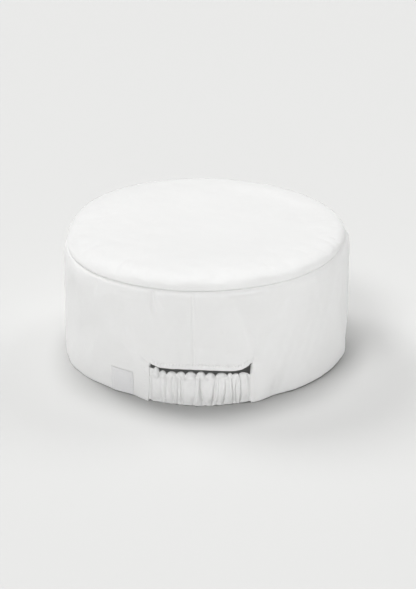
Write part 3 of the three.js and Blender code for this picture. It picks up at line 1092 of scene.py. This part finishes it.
def strap_elastic(name, start, end):
    """One half of the elastic, just behind the middle of the casing and finely rippled."""
    degrees = np.linspace(start, end, 60)
    low, high = STRAP_LOW[2] + 2.6, STRAP_HIGH[2] - 2.4
    z = (low + (high - low) * np.linspace(1, 0, 14))[:, None]
    ripple = 0.12 * np.sin(np.radians(degrees) * 190)
    middle = round_point(strap_middle(degrees, z) - 0.6 + ripple, degrees, z)
    piece = cloth_piece(name, middle, thickness=0.8, material=elastic_web)
    return piece


def strap():
    """Both halves of the casing and the elastic, each from its sewn end to the middle."""
    for name, side, edge in (("left", -1, NOTCH_LEFT), ("right", 1, NOTCH_RIGHT)):
        sewn = edge + side * STRAP_UNDERLAP
        clear = edge - side * ELASTIC_INSET
        casing = strap_casing(f"strap_casing_{name}", *sorted((sewn, STRAP_SPLIT)))
        elastic = strap_elastic(f"strap_elastic_{name}", *sorted((clear, STRAP_SPLIT)))
        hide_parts("strap_casing", f"strap_end_{name}")
        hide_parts("strap_elastic")
        for piece in (casing, elastic):
            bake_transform(piece)


# ---- labels and stitching ----


def woven_label():
    """A plain square label with turned edges, sewn to the band."""
    count = 46
    degrees = np.linspace(LABEL_LEFT, LABEL_RIGHT, count)
    heights = np.linspace(LABEL_HIGH[2], LABEL_LOW[2], count)[:, None]
    from_edge = np.minimum(np.linspace(0, 1, count), np.linspace(1, 0, count))
    turned = 1 - smooth(np.minimum(from_edge[None], from_edge[:, None]), 0.05, 0.09)
    middle = band_point(degrees, heights, 0.26 + 0.16 * turned)
    piece = cloth_piece("woven_label_patch", middle, thickness=0.3, material=label_satin)
    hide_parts("woven_label")
    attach(piece, "root")


CARE_WIDTH = 22.0
CARE_TURN = math.radians(9)  # how far the care label is turned about Z
CARE_CURL = 0.72  # how far its lower end curls towards +Y


def care_label():
    """A plain satin label that hangs inside, a little curled."""
    length = CARE_HIGH[2] - CARE_LOW[2]
    middle = (CARE_LOW + CARE_HIGH) / 2
    share = np.linspace(0, 1, 30)[:, None]
    x = np.linspace(-CARE_WIDTH / 2, CARE_WIDTH / 2, 20)
    y = 0.35 * np.cos(np.pi * x / CARE_WIDTH) + CARE_CURL * share**2
    turned_x = middle[0] + x * math.cos(CARE_TURN) - y * math.sin(CARE_TURN)
    turned_y = middle[1] + x * math.sin(CARE_TURN) + y * math.cos(CARE_TURN)
    places = np.broadcast_arrays(turned_x, turned_y, CARE_HIGH[2] - length * share)
    tape = np.stack(places, axis=-1)
    piece = cloth_piece("care_label_tape", tape, thickness=0.25, material=care_satin)
    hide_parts("care_label")
    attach(piece, "care_flap")


def band_stitches(name, node, degrees, heights, out=0.0):
    """A row of stitches a given distance outside the band's face."""
    degrees, heights = np.broadcast_arrays(degrees, heights)
    points = band_point(degrees, heights, out)
    piece = stitch_row(name, points, band_normal(degrees, heights), thread)
    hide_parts(node)
    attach(piece, "root")


def stitching():
    """All the rows: over the notch, at the strap's ends, on the label and along both seams."""
    degrees = np.linspace(NOTCH_LEFT + 0.4, NOTCH_RIGHT - 0.2, 90)
    rise = split_height(degrees) + TOPSTITCH_RISE
    band_stitches("notch_topstitch_thread", "notch_topstitch", corner_warp(degrees, rise), rise)
    upright = np.linspace(2.0, 22.5, 40)
    for row, angle in enumerate(STRAP_ROWS):
        side = "left" if angle < 0 else "right"
        band_stitches(f"strap_stitch_{side}_{row % 2 + 1}", f"strap_stitch_{side}", angle, upright)
    clear, margin = 0.8, 0.65  # from the label's upper and lower edges, and degrees from its sides
    upright = np.linspace(LABEL_LOW[2] + clear, LABEL_HIGH[2] - clear, 20)
    for side, angle in (("left", LABEL_LEFT + margin), ("right", LABEL_RIGHT - margin)):
        node = f"label_stitch_{side}"
        band_stitches(f"{node}_thread", node, angle, upright, out=0.5)

    around = np.linspace(-180, 180, 361)
    inside = ALLOWANCE_OUTER + seam_offset(around) - 2 * PLY - 0.35
    points = round_point(inside, around, BAND_HEIGHT - 3.0)
    normals = -round_point(1.0, around, 0.0)
    seam = stitch_row("crown_seam_stitch_thread", points, normals, thread, pitch=3.0)
    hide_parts("crown_seam_stitch")
    heights = np.linspace(BAND_HEIGHT - 5, lip_height(BACK_SEAM) + 3, 60)
    points = band_point(BACK_SEAM, heights, -WALL - 0.05)
    normals = -band_normal(np.full_like(heights, BACK_SEAM), heights)
    back = stitch_row("back_seam_stitch_thread", points, normals, thread)
    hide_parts("back_seam_stitch")
    for piece in (seam, back):
        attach(piece, "root")


# ---- the studio ----

SKY_STRENGTH = 0.12
BACKDROP_STRENGTH = 0.80
GLOW_POWER = 0.018
FLOOR_TONE = 0.42
SUN_SPREAD = 24
# Soft lamps: azimuth (like the camera's), elevation and strength. The floor is a darker grey than
# it looks and has its own, stronger lamps, so that the cap throws less light into its shadow.
CAP_LAMPS = [(0, 42, 1.10), (-135, 58, 1.90), (-40, 10, 0.74), (90, 27, 1.14)]
FLOOR_LAMPS = [(-180, 75, 2.66), (-45, 58, 1.50), (-135, 42, 1.90), (135, 42, 0.90)]


def make_floor():
    half = 6.0  # metres
    corners = [(-half, -half, 0), (half, -half, 0), (half, half, 0), (-half, half, 0)]
    mesh = bpy.data.meshes.new("floor")
    mesh.from_pydata(corners, [], [(0, 1, 2, 3)])
    mesh.materials.append(pale_floor(FLOOR_TONE))
    floor = bpy.data.objects.new("floor", mesh)
    bpy.context.scene.collection.objects.link(floor)
    return floor


def sun(name, azimuth, elevation, strength, receivers):
    """A far soft lamp that lights only what a collection lets it."""
    light = bpy.data.lights.new(name, "SUN")
    light.energy = strength
    light.angle = math.radians(SUN_SPREAD)
    source = bpy.data.objects.new(name, light)
    turn = Matrix.Rotation(math.radians(azimuth), 3, "Z")
    height = math.radians(elevation)
    back = turn @ Vector((0, -math.cos(height), math.sin(height)))
    source.rotation_mode = "QUATERNION"
    source.rotation_quaternion = back.to_track_quat("Z", "Y")
    source.light_linking.receiver_collection = receivers
    bpy.context.scene.collection.objects.link(source)


def receiver(name, floor, state):
    """A collection that lights either the floor alone or everything but the floor."""
    collection = bpy.data.collections.new(name)
    collection.objects.link(floor)
    collection.collection_objects[0].light_linking.link_state = state
    return collection


def inside_glow():
    """White cloth lets some light through, so the inside of the cap isn't black."""
    light = bpy.data.lights.new("inside_glow", "POINT")
    light.energy = GLOW_POWER
    light.shadow_soft_size = 0.03
    source = bpy.data.objects.new("inside_glow", light)
    source.location = (0, 0, BAND_HEIGHT / 2 * MM)
    bpy.context.scene.collection.objects.link(source)


def make_world():
    """A dim sky that looks like the pale floor where it is seen behind it."""
    world = bpy.data.worlds.new("studio")
    world.use_nodes = True
    tree = world.node_tree
    sky = tree.nodes["Background"]
    backdrop = tree.nodes.new("ShaderNodeBackground")
    sky.inputs["Color"].default_value = (1, 1, 1, 1)
    sky.inputs["Strength"].default_value = SKY_STRENGTH
    backdrop.inputs["Color"].default_value = (1, 1, 0.99, 1)
    backdrop.inputs["Strength"].default_value = BACKDROP_STRENGTH
    mix = tree.nodes.new("ShaderNodeMixShader")
    path = tree.nodes.new("ShaderNodeLightPath")
    tree.links.new(path.outputs["Is Camera Ray"], mix.inputs[0])
    tree.links.new(sky.outputs[0], mix.inputs[1])
    tree.links.new(backdrop.outputs[0], mix.inputs[2])
    tree.links.new(mix.outputs[0], tree.nodes["World Output"].inputs[0])
    return world


def make_studio():
    floor = make_floor()
    for lamps, name, state in ((CAP_LAMPS, "cap", "EXCLUDE"), (FLOOR_LAMPS, "floor", "INCLUDE")):
        lit = receiver(f"{name}_light", floor, state)
        for number, lamp in enumerate(lamps):
            sun(f"{name}_lamp_{number + 1}", *lamp, lit)
    inside_glow()
    bpy.context.scene.world = make_world()
    bpy.context.scene.view_settings.view_transform = "Standard"


side_band()
interlining()
crown_panel()
seam_allowance()
overlock()
strap()
woven_label()
care_label()
stitching()
make_studio()
